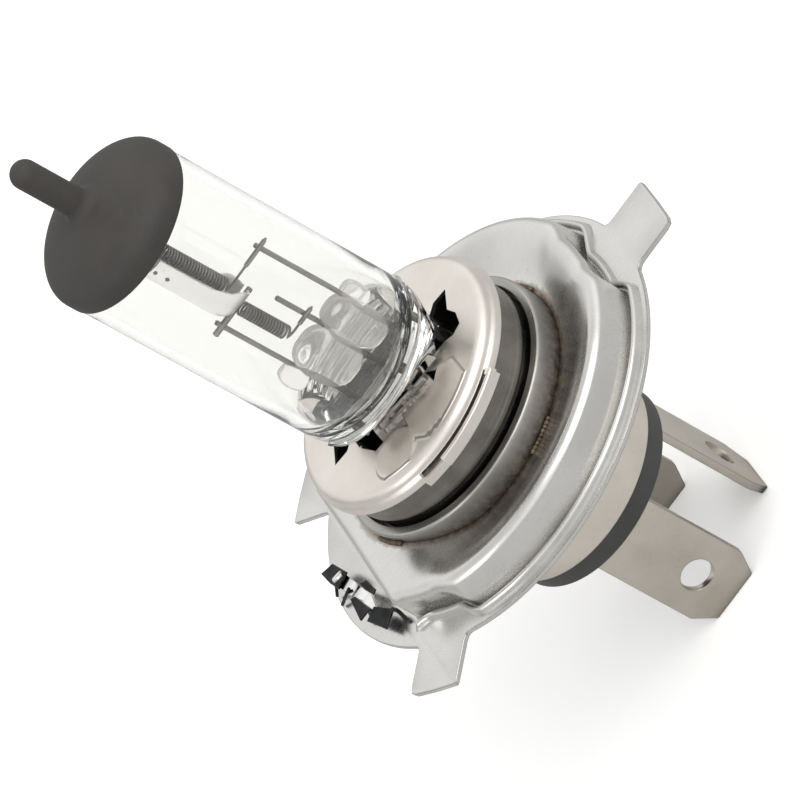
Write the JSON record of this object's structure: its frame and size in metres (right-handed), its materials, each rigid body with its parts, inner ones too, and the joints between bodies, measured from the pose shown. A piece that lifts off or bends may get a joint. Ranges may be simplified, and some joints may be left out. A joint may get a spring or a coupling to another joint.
{
  "type": "headlight bulb",
  "caption": "Halogen headlight bulb: glass tube with a dark top coating, coiled filaments and a shield inside, on a lugged metal flange with blade terminals.",
  "frame": {"origin": "on the bulb's axis, in the plane of the lug ring's front face, which seats in the headlight", "axes": "+Z along the bulb's axis towards the glass tip, +Y towards the wide lug and the crosswise terminal, +X towards the right side terminal"},
  "size_m": [0.043, 0.0477, 0.0821],
  "materials": {
    "clear_glass": "clear, smooth tube glass",
    "bridge_glass": "clear pressed glass bead",
    "black_coating": "matt dark brown-black heat-proof coating on the glass",
    "tungsten": "dark grey coiled wire",
    "molybdenum": "grey foil and crimp metal",
    "wire_steel": "drawn grey wire",
    "shield_metal": "bright stamped sheet, slightly dull outside",
    "polished_clip": "polished spring sheet",
    "nickel_plate": "warm satin nickel plate",
    "dark_sleeve": "smooth dark grey steel",
    "collar_steel": "turned grey steel",
    "weld_metal": "heat-tinted brown weld and joint metal",
    "stamped_steel": "light grey rolled stainless sheet",
    "dark_spring": "bright spring steel with dark reflections",
    "shell_plate": "warm satin plated steel",
    "black_insulator": "dark grey moulded insulator, fine satin",
    "lead_wire": "plated lead wire",
    "terminal_plate": "warm grey nickel-plated blade, rolled grain"
  },
  "bodies": {
    "root": {"glass_envelope": "clear_glass", "top_coating": "black_coating", "seal_foils": "molybdenum", "glass_bridge": "bridge_glass", "upper_support_wire": "wire_steel", "middle_support_wire": "wire_steel", "lower_support_wire": "wire_steel", "low_beam_filament": "tungsten", "low_beam_leg": "tungsten", "low_beam_crimp": "molybdenum", "low_beam_shield": "shield_metal", "shield_rod": "wire_steel", "high_beam_filament": "tungsten", "high_beam_leg": "tungsten", "high_beam_crimp": "molybdenum", "pinch_clip": "polished_clip", "holder_disc": "nickel_plate", "disc_tab": "nickel_plate", "holder_sleeve": "dark_sleeve", "focusing_collar": "collar_steel", "collar_welds": "weld_metal", "boss_plate": "stamped_steel", "lug_ring": "stamped_steel", "retaining_clip": "dark_spring", "base_shell": "shell_plate", "insulator": "black_insulator", "outer_leads": "lead_wire", "lead_joints": "weld_metal", "upper_terminal": "terminal_plate", "right_terminal": "terminal_plate", "left_terminal": "terminal_plate"}
  },
  "joints": []
}
